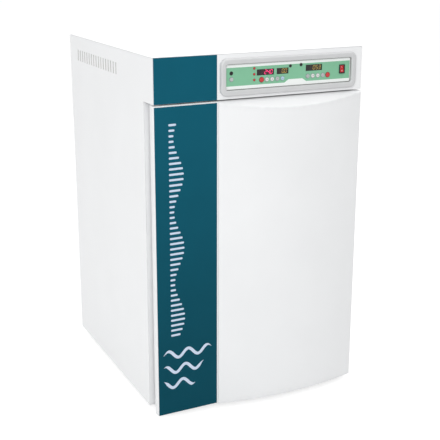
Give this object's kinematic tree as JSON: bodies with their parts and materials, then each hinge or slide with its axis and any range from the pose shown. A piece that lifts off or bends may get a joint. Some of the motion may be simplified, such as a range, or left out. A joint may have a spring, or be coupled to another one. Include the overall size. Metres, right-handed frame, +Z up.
{
  "type": "carbon dioxide incubator",
  "caption": "Upright carbon dioxide incubator with an orbital shaking platform, bowed front door, inner glass door and a control panel across its head.",
  "frame": {"origin": "on the floor, under the middle of the object's box", "axes": "+Z up, -Y towards whoever stands at the door, +X to that person's right"},
  "size_m": [0.62, 0.733, 1],
  "materials": {
    "powder_coat": "fine white powder coat",
    "teal_film": "printed film",
    "bezel_grey": "fine satin moulding",
    "mint_film": "printed film",
    "black_plastic": "moulded",
    "red_plastic": "moulded",
    "grey_plastic": "moulded",
    "board_green": "solder mask",
    "stainless": "brushed",
    "steel": "machined",
    "aluminium": "satin",
    "rubber": "matt",
    "silicone": "matt",
    "foam": "foamed",
    "glass": "clear",
    "brass": "turned"
  },
  "bodies": {
    "cabinet": {"left_side_panel": "powder_coat", "right_side_panel": "powder_coat", "top_cover": "powder_coat", "base_pan": "powder_coat", "rear_panel": "powder_coat", "head_front_panel": "powder_coat", "head_teal_strip": "teal_film", "foot_front_left": "rubber", "foot_front_right": "rubber", "foot_rear_left": "rubber", "foot_rear_right": "rubber", "front_frame": "grey_plastic", "chamber_liner": "stainless", "insulation_jacket": "foam", "shelf": "stainless", "control_bezel": "bezel_grey", "control_overlay": "mint_film", "control_board": "board_green", "display_left": "black_plastic", "display_middle": "black_plastic", "display_right": "black_plastic", "rocker_frame": "black_plastic", "lower_hinge_bracket": "powder_coat", "shaker_base": "aluminium", "shaker_motor": "black_plastic", "drive_belt": "rubber", "fan_motor": "black_plastic", "fan_duct": "stainless", "sensor_probe": "stainless", "gas_inlet": "brass", "mains_inlet": "black_plastic"},
    "outer_door": {"door_skin": "powder_coat", "door_front_panel": "powder_coat", "door_teal_strip": "teal_film", "door_core": "grey_plastic", "door_gasket": "rubber"},
    "glass_door": {"glass_pane": "glass", "glass_hinge_stile": "stainless", "glass_seal": "silicone", "glass_knob": "black_plastic"},
    "main_crank": {"main_crank": "steel"},
    "platform": {"platform": "aluminium"},
    "idler_front_left": {"idler_crank_front_left": "steel"},
    "idler_front_right": {"idler_crank_front_right": "steel"},
    "idler_rear_right": {"idler_crank_rear_right": "steel"},
    "motor_pulley": {"motor_pulley": "aluminium"},
    "fan": {"fan_wheel": "aluminium"},
    "rocker": {"rocker": "red_plastic"},
    "mute_button": {"mute_button": "grey_plastic"},
    "left_button_1": {"left_button_1": "red_plastic"},
    "left_button_2": {"left_button_2": "grey_plastic"},
    "left_button_3": {"left_button_3": "grey_plastic"},
    "left_button_4": {"left_button_4": "grey_plastic"},
    "left_button_5": {"left_button_5": "grey_plastic"},
    "right_button_1": {"right_button_1": "grey_plastic"},
    "right_button_2": {"right_button_2": "grey_plastic"},
    "right_button_3": {"right_button_3": "grey_plastic"},
    "right_button_4": {"right_button_4": "grey_plastic"},
    "right_button_5": {"right_button_5": "red_plastic"},
    "port_plug": {"port_plug": "silicone"}
  },
  "joints": [
    {"name": "outer_door_hinge", "type": "hinge", "parent": "cabinet", "child": "outer_door", "pos_m": [0.296, -0.3075, 0.018], "axis": [0, 0, 1], "range_deg": [0, 110]},
    {"name": "glass_door_hinge", "type": "hinge", "parent": "cabinet", "child": "glass_door", "pos_m": [0.257, -0.256, 0.069], "axis": [0, 0, 1], "range_deg": [0, 82.5]},
    {"name": "main_crank_spin", "type": "hinge", "parent": "cabinet", "child": "main_crank", "pos_m": [0, 0.0118, 0.08], "axis": [0, 0, 1], "continuous": true},
    {"name": "platform_spin", "type": "hinge", "parent": "main_crank", "child": "platform", "pos_m": [0.0125, 0.0118, 0.08], "axis": [0, 0, 1], "continuous": true},
    {"name": "idler_front_left_spin", "type": "hinge", "parent": "cabinet", "child": "idler_front_left", "pos_m": [-0.15, -0.1182, 0.08], "axis": [0, 0, 1], "continuous": true},
    {"name": "idler_front_right_spin", "type": "hinge", "parent": "cabinet", "child": "idler_front_right", "pos_m": [0.15, -0.1182, 0.08], "axis": [0, 0, 1], "continuous": true},
    {"name": "idler_rear_right_spin", "type": "hinge", "parent": "cabinet", "child": "idler_rear_right", "pos_m": [0.15, 0.1418, 0.08], "axis": [0, 0, 1], "continuous": true},
    {"name": "motor_spin", "type": "hinge", "parent": "cabinet", "child": "motor_pulley", "pos_m": [-0.14, 0.1318, 0.08], "axis": [0, 0, 1], "continuous": true},
    {"name": "fan_spin", "type": "hinge", "parent": "cabinet", "child": "fan", "pos_m": [0, 0.0118, 0.808], "axis": [0, 0, 1], "continuous": true},
    {"name": "rocker_hinge", "type": "hinge", "parent": "cabinet", "child": "rocker", "pos_m": [0.24408, -0.3361, 0.941], "axis": [1, 0, 0], "range_deg": [0, 16]},
    {"name": "mute_button_press", "type": "slide", "parent": "cabinet", "child": "mute_button", "axis": [0, 1, 0], "range_m": [0, 0.0007], "stiffness_N_per_m": 400},
    {"name": "left_button_1_press", "type": "slide", "parent": "cabinet", "child": "left_button_1", "axis": [0, 1, 0], "range_m": [0, 0.0007], "stiffness_N_per_m": 400},
    {"name": "left_button_2_press", "type": "slide", "parent": "cabinet", "child": "left_button_2", "axis": [0, 1, 0], "range_m": [0, 0.0007], "stiffness_N_per_m": 400},
    {"name": "left_button_3_press", "type": "slide", "parent": "cabinet", "child": "left_button_3", "axis": [0, 1, 0], "range_m": [0, 0.0007], "stiffness_N_per_m": 400},
    {"name": "left_button_4_press", "type": "slide", "parent": "cabinet", "child": "left_button_4", "axis": [0, 1, 0], "range_m": [0, 0.0007], "stiffness_N_per_m": 400},
    {"name": "left_button_5_press", "type": "slide", "parent": "cabinet", "child": "left_button_5", "axis": [0, 1, 0], "range_m": [0, 0.0007], "stiffness_N_per_m": 400},
    {"name": "right_button_1_press", "type": "slide", "parent": "cabinet", "child": "right_button_1", "axis": [0, 1, 0], "range_m": [0, 0.0007], "stiffness_N_per_m": 400},
    {"name": "right_button_2_press", "type": "slide", "parent": "cabinet", "child": "right_button_2", "axis": [0, 1, 0], "range_m": [0, 0.0007], "stiffness_N_per_m": 400},
    {"name": "right_button_3_press", "type": "slide", "parent": "cabinet", "child": "right_button_3", "axis": [0, 1, 0], "range_m": [0, 0.0007], "stiffness_N_per_m": 400},
    {"name": "right_button_4_press", "type": "slide", "parent": "cabinet", "child": "right_button_4", "axis": [0, 1, 0], "range_m": [0, 0.0007], "stiffness_N_per_m": 400},
    {"name": "right_button_5_press", "type": "slide", "parent": "cabinet", "child": "right_button_5", "axis": [0, 1, 0], "range_m": [0, 0.0007], "stiffness_N_per_m": 400},
    {"name": "port_plug_pull", "type": "slide", "parent": "cabinet", "child": "port_plug", "axis": [0, 1, 0], "range_m": [0, 0.06]}
  ],
  "couplings": [
    {"joint": "glass_door_hinge", "follows": "outer_door_hinge", "ratio": 0.75},
    {"joint": "platform_spin", "follows": "main_crank_spin", "ratio": -1},
    {"joint": "idler_front_left_spin", "follows": "main_crank_spin", "ratio": 1},
    {"joint": "idler_front_right_spin", "follows": "main_crank_spin", "ratio": 1},
    {"joint": "idler_rear_right_spin", "follows": "main_crank_spin", "ratio": 1},
    {"joint": "motor_spin", "follows": "main_crank_spin", "ratio": 3.5}
  ]
}
